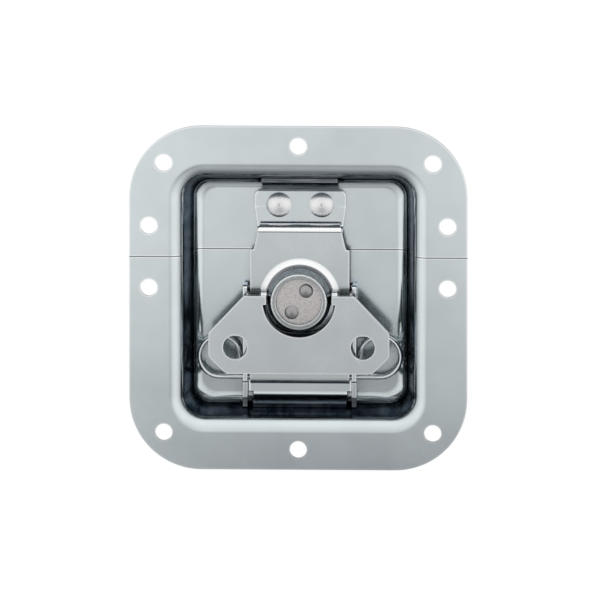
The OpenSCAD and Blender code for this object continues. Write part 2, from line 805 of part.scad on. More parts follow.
// Close coil on the pin, one leg into the drum and one under the handle's arm
module torsion_spring(side) {
    per_turn = 14;
    first = 200;
    sweep = 360 * torsion_turns - 110;
    steps = ceil(per_turn * sweep / 360);
    start_x = coil_start_x + torsion_d / 2;
    centre = [axis_y + pin_y, floor_z + pin_z];
    coil = [
        for (k = [0:steps])
        let (angle = first + sweep * k / steps)
        [
            start_x + torsion_pitch * sweep * k / steps / 360,
            centre.x + torsion_r * cos(angle),
            centre.y + torsion_r * sin(angle)
        ]
    ];
    last = coil[steps];
    color("dimgray") mirror([side < 0 ? 1 : 0, 0, 0]) wire([
        [drum_r - torsion_d, leg_place.x, leg_place.y],
        [start_x - torsion_d / 2, leg_place.x, leg_place.y],
        each coil,
        [last.x, last.y - torsion_leg, last.z]
    ], torsion_d / 2, 8);
}

// Side view of one lug: an eye round the pin on a neck under the arm
module lug_profile() {
    centre_y = axis_y + pin_y;
    neck_top = handle_z - handle_sheet / 2;
    difference() {
        union() {
            translate([centre_y, pin_z]) circle(lug_r);
            translate([centre_y - lug_r, pin_z]) square([handle_top_y - pin_y + lug_r, neck_top - pin_z]);
        }
        translate([centre_y, pin_z]) circle(pin_r + running_gap);
    }
}

// Winged handle with a cut-out round the rotor, finger holes and two lugs bent down to the pins
module butterfly_handle() {
    half_w = handle_w / 2;
    half_top = handle_top_w / 2;
    half_bottom = handle_bottom_w / 2;
    y0 = axis_y;
    color("gainsboro") {
        sheet(handle_z - handle_sheet, handle_sheet) difference() {
            polygon(rounded([
                [half_top, y0 + handle_top_y, wing_upper_r],
                [-half_top, y0 + handle_top_y, wing_upper_r],
                [-half_w, y0 - wing_upper_y, wing_upper_r],
                [-half_w, y0 - wing_lower_y, wing_lower_r],
                [-half_bottom, y0 - handle_bottom_y, handle_bottom_r],
                [half_bottom, y0 - handle_bottom_y, handle_bottom_r],
                [half_w, y0 - wing_lower_y, wing_lower_r],
                [half_w, y0 - wing_upper_y, wing_upper_r]
            ]));
            translate([0, y0]) difference() {
                circle(cutout_r);
                translate([-cutout_r, -arm_step_y]) square([2 * cutout_r, cutout_r + arm_step_y]);
            }
            translate([-lug_x, y0 - arm_step_y - eps]) square([2 * lug_x, 2 * handle_top_y + arm_step_y]);
            for (side = [-1, 1])
                translate([side * finger_hole_x, y0 - finger_hole_y]) circle(finger_hole_r);
        }
        for (side = [-1, 1])
            translate([side * (lug_x + handle_sheet / 2), 0, 0]) across(handle_sheet) lug_profile();
    }
}

dish_lower();
dish_upper();
keeper_plate();
keeper_rivet(-1);  // keeper_rivet_left
keeper_rivet(1);  // keeper_rivet_right
guide_channel();
channel_rivet(1);  // channel_rivet_1
channel_rivet(2);  // channel_rivet_2
channel_rivet(3);  // channel_rivet_3
channel_rivet(4);  // channel_rivet_4
claw_plate();
wire_spring();
eccentric_cam();
rotor_drum();
retaining_washer();
spindle_rivet(1);  // spindle_rivet_upper
spindle_rivet(-1);  // spindle_rivet_lower
hinge_pin(-1);  // hinge_pin_left
hinge_pin(1);  // hinge_pin_right
torsion_spring(-1);  // torsion_spring_left
torsion_spring(1);  // torsion_spring_right
butterfly_handle();
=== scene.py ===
# %% [markdown]
# # A recessed butterfly latch
# The latch is nearly all plated steel sheet, so its look is made of four things: true bent forms, thin
# bright edges where the sheet was cut, a plain studio whose light and dark parts the plating mirrors, and
# masks for the few dark and bright places that the photograph's room made and this studio can't. The
# solids come from the packed frame. This script dresses them, and never moves them.

# %% Load the frame
import json
import math

import bmesh
import bpy
from mathutils import Matrix, Vector


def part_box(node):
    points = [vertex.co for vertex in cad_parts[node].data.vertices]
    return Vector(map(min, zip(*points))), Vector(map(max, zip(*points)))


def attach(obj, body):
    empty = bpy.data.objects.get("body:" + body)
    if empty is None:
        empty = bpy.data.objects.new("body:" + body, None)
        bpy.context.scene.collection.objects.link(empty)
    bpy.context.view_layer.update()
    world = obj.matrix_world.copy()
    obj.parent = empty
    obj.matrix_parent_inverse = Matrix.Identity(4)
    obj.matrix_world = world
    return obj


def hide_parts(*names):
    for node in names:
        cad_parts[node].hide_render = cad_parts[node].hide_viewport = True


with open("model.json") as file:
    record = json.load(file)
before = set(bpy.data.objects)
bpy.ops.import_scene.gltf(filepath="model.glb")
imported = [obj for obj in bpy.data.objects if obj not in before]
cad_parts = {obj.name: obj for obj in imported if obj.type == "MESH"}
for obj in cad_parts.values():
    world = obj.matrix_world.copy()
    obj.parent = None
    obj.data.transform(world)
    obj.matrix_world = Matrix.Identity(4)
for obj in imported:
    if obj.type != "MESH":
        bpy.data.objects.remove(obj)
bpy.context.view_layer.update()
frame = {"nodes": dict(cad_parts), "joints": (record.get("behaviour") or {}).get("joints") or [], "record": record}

MM = 0.001

# %% [markdown]
# ## Places that the frame gives
# Heights are measured from the dish's floor, as a press shop would measure them. The flange's top, the
# parting line and the rotor's axis are read from the frame's nodes and joints, so the pieces made here
# follow the solids. The rest are sizes of the sheet, named once.

# %% Named sizes
FLANGE_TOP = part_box("dish_lower")[1].z
DISH_DEPTH = 18 * MM
DISH_SHEET = 1.2 * MM
FLOOR_Z = FLANGE_TOP - DISH_DEPTH
PARTING_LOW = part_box("dish_lower")[1].y
PARTING_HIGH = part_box("dish_upper")[0].y
AXIS = Vector(frame["joints"][0]["pos_m"])
print("floor", round(FLOOR_Z, 4), "parting", round(PARTING_LOW, 4), "axis", tuple(AXIS))

# %% [markdown]
# ## Writing shader maths as sums
# A material is easier to read as an expression than as a tangle of Math nodes. This class wraps one
# output socket. Each operator adds the Math node that does the sum, so 1 - mask * 0.5 works as written.
# Any other node comes from one method, which takes its type, its settings and what its sockets hold.

# %% One class for shader maths
class Signal:
    """A socket of a node tree that can be added, multiplied and fed into other nodes."""

    def __init__(self, tree, socket):
        self.tree = tree
        self.socket = socket

    @classmethod
    def of(cls, tree, kind, settings=None, out=0, **inputs):
        """Adds a node: its settings, then the value or link of each socket by name, or i0, i1 by number."""
        made = tree.nodes.new(kind)
        for name, value in (settings or {}).items():
            if name == "stops":
                set_stops(made.color_ramp.elements, value)
            else:
                setattr(made, name, value)
        for name, value in inputs.items():
            numbered = name[0] == "i" and name[1:].isdigit()
            slot = made.inputs[int(name[1:])] if numbered else made.inputs[name]
            if isinstance(value, Signal):
                value.into(slot)
            else:
                slot.default_value = value
        return cls(tree, made.outputs[out])

    def node(self, kind, settings=None, out=0, **inputs):
        return self.of(self.tree, kind, settings, out, **inputs)

    def into(self, slot):
        self.tree.links.new(self.socket, slot)

    def maths(self, operation, *others):
        inputs = {f"i{k}": value for k, value in enumerate((self, *others))}
        return self.node("ShaderNodeMath", {"operation": operation}, **inputs)

    def __add__(self, other):
        return self.maths("ADD", other)

    __radd__ = __add__

    def __sub__(self, other):
        return self.maths("SUBTRACT", other)

    def __rsub__(self, other):
        return self.maths("MULTIPLY_ADD", -1.0, other)

    def __mul__(self, other):
        return self.maths("MULTIPLY", other)

    __rmul__ = __mul__

    def __truediv__(self, other):
        return self.maths("DIVIDE", other)

    def __abs__(self):
        return self.maths("ABSOLUTE")

    def at_least(self, other):
        return self.maths("MAXIMUM", other)

    def at_most(self, other):
        return self.maths("MINIMUM", other)

    def split(self):
        """The three parts of a vector."""
        parts = self.node("ShaderNodeSeparateXYZ", i0=self).socket.node
        return [Signal(self.tree, output) for output in parts.outputs]

    def ramp(self, *stops):
        """Straight steps between (position, value) pairs, kept between the first and the last."""
        return self.node("ShaderNodeValToRGB", {"stops": stops}, i0=self)

    def ramp_mm(self, low, high):
        """A straight step between two (place in mm, value) pairs, kept level beyond both."""
        return self.node("ShaderNodeMapRange", i0=self, i1=low[0], i2=high[0], i3=low[1], i4=high[1])

    def tint(self, low, high):
        """A colour between two colours, by this signal."""
        return self.node(
            "ShaderNodeMix", {"data_type": "RGBA"}, out=2, i0=self, i6=(*low, 1), i7=(*high, 1)
        )

    def blend(self, share, colour):
        """This colour mixed towards another one."""
        return self.node("ShaderNodeMix", {"data_type": "RGBA"}, out=2, i0=share, i6=self, i7=(*colour, 1))

    def shaded(self, factor):
        """This colour multiplied by a factor."""
        return self.node("ShaderNodeVectorMath", {"operation": "SCALE"}, i0=self, Scale=factor)


def set_stops(elements, stops):
    while len(elements) < len(stops):
        elements.new(0.5)
    for element, (position, value) in zip(elements, stops):
        element.position = position
        element.color = (value, value, value, 1)


print("shader maths by", ", ".join(name for name in vars(Signal) if not name.startswith("_")))

# %% [markdown]
# ## Zinc plating
# Bright zinc over steel is a metal with a faint blue-grey tint. It isn't a perfect mirror: the sheet
# below has a rolling grain, and the bath leaves slow cloudy patches. Shade is painted into the colour of
# gaps, where little light gets in. The grain is a noise stretched along one axis, the clouds are a large
# soft noise, and the painted shade in gaps comes from an Ambient Occlusion node. Cut edges are found by
# comparing the true normal with a rounded one, and they are painted brighter, as thin painted highlights.
# A photograph could give the same surface, but only for one piece and one light.

# %% A plated metal from a few numbers
EDGE_REACH = 0.8 * MM
GRAIN_HEIGHT = 0.02 * MM
# The white towards which painted highlights are blended
HIGHLIGHT_WHITE = (1.0, 1.0, 1.0)
# The colour of the painted shade in gaps
GAP_SHADE_COLOUR = (0.026, 0.030, 0.036)
# The colour of painted shade and painted dark reflections, also used for the drum's real turned rings
NEARLY_BLACK = (0.022, 0.036, 0.052)


def noise(at, scale, detail, roughness=0.5, stretch=None):
    """A soft noise of the place, finer as scale grows, and coarser along an axis whose stretch is below 1."""
    where = at.node("ShaderNodeMapping", Vector=at, Scale=stretch) if stretch else at
    return at.node("ShaderNodeTexNoise", Vector=where, Scale=scale, Detail=detail, Roughness=roughness)


def near_edges(tree):
    """1 within a narrow band along sharp edges, 0 on flats."""
    true_normal = Signal.of(tree, "ShaderNodeNewGeometry", out="Normal")
    rounded = true_normal.node("ShaderNodeBevel", {"samples": 4}, Radius=EDGE_REACH)
    product = {"operation": "DOT_PRODUCT"}
    alike = rounded.node("ShaderNodeVectorMath", product, out=1, i0=rounded, i1=true_normal)
    return (1 - alike).ramp((0.003, 0.0), (0.025, 1.0))


def plated(
    name, colour, rough, grain=(1, 1, 1), grain_size=900, grain_depth=0.05, cloud=0.04, mottle=0.0,
    pores=0.0, reach=6.0, gap_range=(0.06, 0.40), edge_shine=0.95, glancing=0.86, marks_and_painted_light=None,
):
    """A metal with grain along one axis, cloudy patches, painted edge highlights, painted shade in gaps, and
    painted light and patterns of its own.
    """
    material = bpy.data.materials.new(name)
    material.use_nodes = True
    tree = material.node_tree
    shader = tree.nodes["Principled BSDF"]
    at = Signal.of(tree, "ShaderNodeTexCoord", out="Object")
    lines = noise(at, grain_size, 3.0, 0.6, grain)
    clouds = noise(at, 60.0, 4.0, 0.55)
    edge = near_edges(tree)
    # Painted shade: the colour goes dark where Ambient Occlusion finds a point closed in by gaps or by parts above
    # it
    openness = at.node("ShaderNodeAmbientOcclusion", {"samples": 5}, out=1, Distance=reach * MM)
    gap_shade = openness.ramp((gap_range[0], 0.93), (gap_range[1], 0.0))
    dull_patch = tuple(c * (1 - cloud * 2) for c in colour)
    bright_patch = tuple(min(1.0, c * (1 + cloud)) for c in colour)
    skin = clouds.ramp((0.3, 0.0), (0.7, 1.0)).tint(dull_patch, bright_patch)
    if mottle:
        skin = skin.shaded(noise(at, 1500.0, 3.0, 0.7).ramp((0.35, 1 - mottle), (0.65, 1.0)))
    # Painted highlight: a thin band along cut edges is drawn towards white
    skin = skin.blend(edge * edge_shine, HIGHLIGHT_WHITE)
    # Each finish's own painted highlights and painted shade, and the drum's real rings, by place
    if marks_and_painted_light:
        dark, shine = marks_and_painted_light(at)
        skin = skin.blend(shine, HIGHLIGHT_WHITE).blend(dark, NEARLY_BLACK)
    # The painted shade in gaps is blended over the colour last
    skin.blend(gap_shade, GAP_SHADE_COLOUR).into(shader.inputs["Base Color"])
    roughness = rough + (lines - 0.5) * (rough * 0.4) + (clouds - 0.5) * (rough * 0.35)
    roughness = roughness - edge * (rough * 0.3)
    height = lines
    if pores:
        pits = at.node("ShaderNodeTexVoronoi", Vector=at, Scale=1900.0).ramp((0.0, 0.0), (0.3, 1.0))
        height = pits * pores + noise(at, 2600.0, 3.0) * (1 - pores)
        roughness = roughness + (1 - pits) * 0.15
    roughness.into(shader.inputs["Roughness"])
    bump = at.node("ShaderNodeBump", Strength=grain_depth, Distance=GRAIN_HEIGHT, Height=height)
    bump.into(shader.inputs["Normal"])
    shader.inputs["Metallic"].default_value = 1.0
    shader.inputs["Specular Tint"].default_value = (glancing, glancing * 1.05, glancing * 1.15, 1)
    return material


# %% [markdown]
# ## Painted dark walls and other painted light on the dish
# In the photograph the inner walls are nearly black, with faint streaks along the draw, because they
# mirror a dark part of the room. The tent below can't be that dark without darkening the flange too, so
# the walls get a painted dark reflection, by a mask that lies where the sheet stands steep and faces
# inwards. A thin painted highlight follows the mouth's bend at one height, and a painted shadow line
# lies in the parting. Each is a mask of the place or of the surface's own direction, so no picture has
# to be painted.

# %% Masks for the dish
PARTING_MIDDLE = (PARTING_LOW + PARTING_HIGH) / 2 / MM
MOUTH_HIGHLIGHT_Z = FLANGE_TOP / MM - 2.35


def place_of(at):
    """Where a point of a piece lies at rest, in millimetres."""
    return [part * (1 / MM) for part in at.split()]


def dish_painted_light(at):
    x, y, z = place_of(at)
    side, end, up = at.node("ShaderNodeTexCoord", out="Normal").split()
    inside = (x * side + y * end).ramp_mm((-8.0, 1.0), (0.0, 0.0))
    streaks = noise(at, 420.0, 3.0, 0.65, (1, 1, 0.06)).ramp((0.38, 0.0), (0.68, 0.2))
    steep = abs(up)
    # Painted dark reflection: steep walls facing inwards go nearly black, less so along streaks of the draw
    wall = steep.ramp((0.34, 0.97), (0.72, 0.0)) - streaks * steep.ramp((0.3, 1.0), (0.5, 0.0))
    # Painted shadow line along the parting
    seam = abs(y - PARTING_MIDDLE).ramp_mm((0.08, 0.95), (0.17, 0.0))
    # Painted highlight along the mouth's bend, where the painted dark is also lifted
    mouth = abs(z - MOUTH_HIGHLIGHT_Z).ramp_mm((0.2, 1.0), (0.42, 0.0))
    line = mouth * abs(side).ramp((0.55, 0.0), (0.75, 0.92))
    return (wall * inside).at_least(seam) * (1 - line), line * inside * 0.9


print("parting at y", round(PARTING_MIDDLE, 2), "mm, mouth highlight at z", round(MOUTH_HIGHLIGHT_Z, 2), "mm")

# %% [markdown]
# ## Light and dark on the sheet inside
# The keeper and the channel each turn up against an end wall of the dish, and there they get the
# same painted dark reflection as the wall. In the photograph the claw's nose is bright past a fine
# crease, and so is the collar behind the rotor, while the claw is nearly black under the handle. They
# mirror things that the tent doesn't have, so masks of place paint them: painted highlights, a painted
# shade line at the crease and painted shade. The handle shares the claw's finish but lies above it,
# and a mask of height keeps this painted light off it.

# %% Masks for keeper, channel and claw
KEEPER_END = 30.5
CHANNEL_END = -32.3
NOSE_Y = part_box("claw_plate")[1].y / MM - 2.25
COLLAR_R = 10.3
SHADE_R = 12.2
CLAW_BELOW = 10.0


def inner_sheet_painted_shade(at):
    y = place_of(at)[1]
    # Painted dark reflection where the keeper and the channel turn up against the end walls, with streaks
    at_keeper_end = y.ramp_mm((KEEPER_END, 0.0), (KEEPER_END + 0.15, 1.0))
    at_channel_end = y.ramp_mm((CHANNEL_END, 1.0), (CHANNEL_END + 0.4, 0.0))
    streaks = noise(at, 900.0, 2.0, 0.6, (0.1, 1, 1)).ramp((0.3, 0.74), (0.7, 0.93))
    return (at_keeper_end + at_channel_end) * streaks, 0.0


def from_axis(x, y):
    """Distance in plan from the rotor's axis, in millimetres."""
    along = y - AXIS.y / MM
    return (x * x + along * along).maths("SQRT")


def claw_painted_light(at):
    x, y, z = place_of(at)
    behind = y - AXIS.y / MM
    radius = from_axis(x, y)
    on_claw = z.ramp_mm((CLAW_BELOW, 1.0), (CLAW_BELOW + 0.4, 0.0))
    # Painted shade line along the nose's crease
    crease = abs(y - NOSE_Y).ramp_mm((0.07, 0.85), (0.16, 0.0))
    # Painted highlights on the nose and on the collar behind the rotor
    nose = (y - NOSE_Y).ramp_mm((0.12, 0.0), (0.2, 1.0))
    collar = radius.ramp_mm((COLLAR_R + 1.3, 0.85), (COLLAR_R + 2.2, 0.0))
    collar = collar * behind.ramp_mm((-0.6, 0.0), (-0.4, 1.0))
    # Painted shade on the claw under the handle, round the rotor
    shade = radius.ramp_mm((SHADE_R, 0.92), (SHADE_R + 0.6, 0.0))
    shade = shade * behind.ramp_mm((-1.2, 1.0), (-0.6, 0.0))
    return crease.at_least(shade) * on_claw, (nose + collar).ramp((0.0, 0.0), (1.0, 0.95)) * on_claw


print("claw's crease at y", round(NOSE_Y, 2), "mm")

# %% [markdown]
# ## Rings and painted light on the drum
# The drum is turned, so its face has fine rings, and a painted highlight lies along the rim's broken
# edge. The lower shoulder round it is painted darker with blotches, as painted shade and reflection,
# and painted nearly black on the side that the handle covers and shades. Distance from the axis is all
# that this needs, and a one-dimensional noise of it makes the rings.

# %% Masks for the drum
RIM_R = 8.35
SHOULDER_R = 8.45


def drum_rings_and_painted_light(at):
    x, y, _ = place_of(at)
    radius = from_axis(x, y)
    # Painted shade and reflection on the shoulder: blotched, and nearly black on the side the handle shades
    shoulder = radius.ramp_mm((SHOULDER_R, 0.0), (SHOULDER_R + 0.25, 1.0))
    covered = (y - AXIS.y / MM).ramp_mm((-3.5, 1.0), (-0.5, 0.0))
    rings = at.node("ShaderNodeTexNoise", {"noise_dimensions": "1D"}, W=radius, Scale=2.4, Detail=2.0)
    # Painted highlight along the rim's broken edge
    rim_line = abs(radius - RIM_R).ramp_mm((0.08, 0.9), (0.22, 0.0))
    shoulder_shade_blotches = noise(at, 700.0, 3.0, 0.6).ramp((0.35, 0.62), (0.65, 0.38))
    on_shoulder = shoulder * (shoulder_shade_blotches + covered * (0.96 - shoulder_shade_blotches))
    dark = on_shoulder + (1 - shoulder) * rings.ramp((0.4, 0.36), (0.62, 0.14))
    return dark * (1 - rim_line * 0.6), rim_line * 0.4


print("rim line at radius", RIM_R, "mm")

# %% [markdown]
# ## The finishes
# One row for each material slot of the record. The dish and the claw are the same zinc, but rolled sheet
# mirrors more than brushed sheet. The rotor's core is sintered, which leaves pores, and the peened rivet
# ends in it are plain steel. Reach is how far round a point the search for gaps goes, in millimetres, and
# gap_range is the openness between which the painted shade in gaps fades out.

# %% The plated materials
FINISHES = {
    "dish_plating": dict(
        colour=(0.675, 0.735, 0.75), rough=0.17, grain_size=700, grain_depth=0.04, cloud=0.03,
        reach=14.0, gap_range=(0.14, 0.42), glancing=0.42, marks_and_painted_light=dish_painted_light,
    ),
    "bright_plating": dict(
        colour=(0.695, 0.75, 0.765), rough=0.16, grain=(1, 8, 1), cloud=0.03,
        reach=3.0, gap_range=(0.1, 0.4), marks_and_painted_light=inner_sheet_painted_shade,
    ),
    "rivet_plating": dict(
        colour=(0.82, 0.82, 0.82), rough=0.28, grain_size=1200, cloud=0.03, reach=2.0, edge_shine=0.0,
    ),
    "brushed_plating": dict(
        colour=(0.64, 0.685, 0.695), rough=0.25, grain=(1, 14, 1), grain_size=260, grain_depth=0.07,
        cloud=0.03, gap_range=(0.12, 0.55), marks_and_painted_light=claw_painted_light,
    ),
    "spring_wire": dict(
        colour=(0.82, 0.84, 0.85), rough=0.14, grain_depth=0.04, cloud=0.02, reach=2.0, edge_shine=0.0,
    ),
    "sintered_steel": dict(
        colour=(0.71, 0.675, 0.67), rough=0.42, grain_depth=0.7, cloud=0.06, mottle=0.3, pores=0.6,
        reach=2.5, edge_shine=0.0,
    ),
    "turned_plating": dict(
        colour=(0.58, 0.62, 0.61), rough=0.22, grain=(1, 1, 10), grain_depth=0.10, cloud=0.05, mottle=0.3,
        reach=4.0, marks_and_painted_light=drum_rings_and_painted_light,
    ),
    "dark_steel": dict(
        colour=(0.40, 0.39, 0.39), rough=0.30, grain_depth=0.10, cloud=0.06, mottle=0.15,
        reach=1.0, gap_range=(0.3, 0.75), edge_shine=0.0,
    ),
    "dark_spring": dict(
        colour=(0.14, 0.15, 0.15), rough=0.35, grain_depth=0.10, cloud=0.05, reach=2.0, edge_shine=0.0,
    ),
}
MATERIALS = {name: plated(name, **finish) for name, finish in FINISHES.items()}
print("materials", len(MATERIALS))

# %% [markdown]
# ## Dressing the solids that stay
# The packed solids have the right shape but knife-sharp edges, and real sheet never has those. A Weld
# joins the points that the file keeps apart, and a narrow Bevel rolls each cut edge over, so that it
# catches a thin line of light. A Weighted Normal modifier keeps the flats flat. All three are
# modifiers, so the solid's own points and faces stay as they are, and only its shading is set to smooth.

# %% Finish for each solid
SLOT_OF = {part["node"]: part["material_slot"] for part in frame["record"]["subparts"]}
# Width of the rolled edge, in millimetres
EDGE_WIDTH = {
    "butterfly_handle": 0.34, "claw_plate": 0.24, "guide_channel": 0.2, "keeper_plate": 0.2,
    "rotor_drum": 0.08, "eccentric_cam": 0.1,
}
SAME_POINT = 0.002 * MM
CUT_ANGLE = math.radians(24)


def bevelled(obj, width, segments, angle):
    bevel = obj.modifiers.new("edge", "BEVEL")
    bevel.width = width
    bevel.segments = segments
    bevel.limit_method = "ANGLE"
    bevel.angle_limit = angle


def keep_flats_flat(obj, weight=50):
    obj.data.shade_smooth()
    normals = obj.modifiers.new("flats", "WEIGHTED_NORMAL")
    normals.weight = weight
    normals.keep_sharp = True


def round_edges(obj, width):
    weld = obj.modifiers.new("weld", "WELD")
    weld.merge_threshold = SAME_POINT
    bevelled(obj, width * MM, 3, CUT_ANGLE)
    keep_flats_flat(obj, 100)


for name, node in frame["nodes"].items():
    node.data.materials.clear()
    node.data.materials.append(MATERIALS[SLOT_OF[name]])
    if name in EDGE_WIDTH:
        round_edges(node, EDGE_WIDTH[name])
print("finished", len(EDGE_WIDTH), "solids with rolled edges")

# %% [markdown]
# ## The pressed dish
# The dish is one sheet drawn into a die: a flat flange, a bend over the die's mouth, a leaning wall, a
# bend into the floor, and corners that grow rounder towards the mouth. It could be a subdivided box, but
# then the bends would be guesses. Instead each level of the die is one ring of points, and the section
# through the wall says how far out and how high each ring lies. Mirrored plating shows every facet, so
# the rings are many. The back is the same section, a sheet's thickness behind.

# %% Section of the wall
FLOOR_HALF = (29.4 * MM, 31.3 * MM)
FLOOR_BEND = 3.4 * MM
MOUTH_BEND = 5.0 * MM
WALL_RUN = 10.2 * MM
FLOOR_CORNER = 4.3 * MM
CORNER_GROWTH = 0.35
FLANGE_HALF = (51.5 * MM, 52.8 * MM)
FLANGE_CORNER = 22.0 * MM
RISE = DISH_DEPTH - MOUTH_BEND - FLOOR_BEND
DRAFT = math.acos((MOUTH_BEND + FLOOR_BEND) / math.hypot(WALL_RUN, RISE)) - math.atan2(RISE, WALL_RUN)
WALL_TOP_RUN = WALL_RUN - MOUTH_BEND * math.cos(DRAFT)
CORNER_STEPS = 28
print("draft of the walls", round(math.degrees(DRAFT), 2), "degrees")


def section(layer, floor_steps=14, mouth_steps=18):
    """(run, shift, height) down the wall, for a surface that lies layer behind the front."""
    rows = []
    for k in range(floor_steps + 1):
        angle = -math.pi / 2 + (math.pi / 2 - DRAFT) * k / floor_steps
        rows.append((
            FLOOR_BEND * math.cos(angle),
            layer * math.cos(angle),
            FLOOR_BEND + (FLOOR_BEND + layer) * math.sin(angle),
        ))
    for k in range(mouth_steps + 1):
        angle = math.pi - DRAFT - (math.pi / 2 - DRAFT) * k / mouth_steps
        rows.append((
            WALL_RUN + MOUTH_BEND * math.cos(angle),
            -layer * math.cos(angle),
            DISH_DEPTH - MOUTH_BEND + (MOUTH_BEND - layer) * math.sin(angle),
        ))
    return rows


def corner_ring(half_x, half_y, radius, z):
    points = []
    for sx, sy, start in ((1, 1, 0), (-1, 1, 90), (-1, -1, 180), (1, -1, 270)):
        for k in range(CORNER_STEPS + 1):
            angle = math.radians(start + 90 * k / CORNER_STEPS)
            points.append((
                sx * (half_x - radius) + radius * math.cos(angle),
                sy * (half_y - radius) + radius * math.sin(angle),
                z,
            ))
    return points


def recess_ring(row):
    run = row[0] + row[1]
    radius = FLOOR_CORNER + CORNER_GROWTH * min(row[0], WALL_TOP_RUN) + max(0, row[0] - WALL_TOP_RUN) + row[1]
    return corner_ring(FLOOR_HALF[0] + run, FLOOR_HALF[1] + run, radius, FLOOR_Z + row[2])


# %% [markdown]
# ## Holes and the parting
# Rivet holes are punched after drawing, and the dish is sheared into its two halves. Boolean modifiers
# do both on the finished shell. The flange holes' places are read from the record's mounts, and those of
# the holes in the floor from the nodes that stand in them, so they can't drift from the solids.

# %% Cutters
HOLE_R = 2.6 * MM
SHANK_R = 1.6 * MM


def pattern_places(name):
    """The holes of one of the record's bolt patterns, as places in plan."""
    mount = next(m for m in frame["record"]["mounts"] if m["name"] == name)
    dx = mount["dims"].get("spacing_x_mm", 0) / 2 * MM
    dy = mount["dims"].get("spacing_y_mm", 0) / 2 * MM
    x, y, _ = mount["pos_m"]
    return sorted({(x + sx * dx, y + sy * dy) for sx in (-1, 1) for sy in (-1, 1)})


def node_centre(name):
    low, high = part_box(name)
    return (low + high) / 2


def placed(name, data):
    """A new object in the scene."""
    obj = bpy.data.objects.new(name, data)
    bpy.context.scene.collection.objects.link(obj)
    return obj


def mesh_object(name, vertices, faces):
    mesh = bpy.data.meshes.new(name)
    mesh.from_pydata(vertices, [], faces)
    return placed(name, mesh)


def as_mesh(made, name):
    """The mesh of a bmesh, which isn't needed after that."""
    mesh = bpy.data.meshes.new(name)
    made.to_mesh(mesh)
    made.free()
    return mesh


def post(x, y, radius, low, high, steps=64):
    """A plain round cutter standing at x, y."""
    made = bmesh.new()
    bmesh.ops.create_cone(
        made, cap_ends=True, segments=steps, radius1=radius, radius2=radius, depth=high - low,
        matrix=Matrix.Translation((x, y, (low + high) / 2)),
    )
    return as_mesh(made, "post")


def box_mesh(low, high):
    made = bmesh.new()
    bmesh.ops.create_cube(made, size=1.0)
    for v in made.verts:
        v.co = Vector(low[k] if v.co[k] < 0 else high[k] for k in range(3))
    return as_mesh(made, "box")


def joined_cutter(name, meshes):
    made = bmesh.new()
    for mesh in meshes:
        made.from_mesh(mesh)
    return placed(name, as_mesh(made, name))


HOLES = [place for name in ("corner_holes", "side_holes", "end_holes") for place in pattern_places(name)]
print("flange holes", len(HOLES))

# %% [markdown]
# ## Building one half
# A half is the whole shell cut by the parting plane. The rings of the front and of the back are joined
# round the flange's outer edge, which makes one closed shell, and that is what a clean cut needs. The
# solids leave 0.3 mm between the halves. Here each half reaches further by CLOSING, because the
# photograph shows only a thin dark line.

# %% Dish shell
def outwards(obj, sharp=math.pi):
    """Turns the faces outwards, and keeps edges sharp that turn by more than the angle sharp."""
    made = bmesh.new()
    made.from_mesh(obj.data)
    bmesh.ops.recalc_face_normals(made, faces=made.faces)
    for edge in made.edges:
        if edge.calc_face_angle(0) > sharp:
            edge.smooth = False
    made.to_mesh(obj.data)
    made.free()


def dish_shell(name):
    front = [recess_ring(row) for row in section(0)]
    back = [recess_ring(row) for row in section(DISH_SHEET)]
    outer_front = corner_ring(*FLANGE_HALF, FLANGE_CORNER, FLANGE_TOP)
    outer_back = corner_ring(*FLANGE_HALF, FLANGE_CORNER, FLANGE_TOP - DISH_SHEET)
    rings = front + [outer_front, outer_back] + back[::-1]
    n = len(rings[0])
    vertices = [p for ring in rings for p in ring]
    faces = [tuple(range(n))]
    for level in range(len(rings) - 1):
        for i in range(n):
            a = level * n + i
            b = level * n + (i + 1) % n
            faces.append((a, a + n, b + n, b))
    faces.append(tuple((len(rings) - 1) * n + i for i in range(n - 1, -1, -1)))
    obj = mesh_object(name, vertices, faces)
    outwards(obj)
    return obj


def applied(obj):
    """Replaces the object's mesh by what its modifiers make of it."""
    graph = bpy.context.evaluated_depsgraph_get()
    mesh = bpy.data.meshes.new_from_object(obj.evaluated_get(graph))
    obj.modifiers.clear()
    obj.data = mesh


def cut(obj, cutter, operation="DIFFERENCE"):
    boolean = obj.modifiers.new("cut", "BOOLEAN")
    boolean.operation = operation
    boolean.solver = "EXACT"
    boolean.object = cutter
    applied(obj)
    bpy.data.objects.remove(cutter)


print("section", len(section(0)), "rings a side")

# %% [markdown]
# ## Punching and shearing
# The punches are round posts, longer than the sheet is thick. The shear is a large box that only the
# wanted half lies in. The sheared and punched edges are then rolled over slightly, as on the other sheet.

# %% Two halves of the dish
REACH = 80 * MM
PUNCH_REACH = 4 * MM
PUNCH_LOW = -1 * MM
PUNCH_HIGH = FLOOR_Z + 2 * MM
DISH_EDGE = 0.14 * MM
DISH_CUT_ANGLE = math.radians(50)


def dish_half(node, keep_low, keep_high, floor_holes):
    obj = dish_shell(node + "_shell")
    posts = [post(x, y, HOLE_R, FLANGE_TOP - PUNCH_REACH, FLANGE_TOP + PUNCH_REACH) for x, y in HOLES]
    posts += [post(x, y, r, PUNCH_LOW, PUNCH_HIGH) for x, y, r in floor_holes]
    cut(obj, joined_cutter(node + "_posts", posts))
    keep = joined_cutter(node + "_keep", [box_mesh((-REACH, keep_low, -REACH), (REACH, keep_high, REACH))])
    cut(obj, keep, "INTERSECT")
    bevelled(obj, DISH_EDGE, 2, DISH_CUT_ANGLE)
    applied(obj)
    keep_flats_flat(obj)
    obj.data.materials.append(MATERIALS["dish_plating"])
    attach(obj, "root")
    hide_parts(node)
    return obj


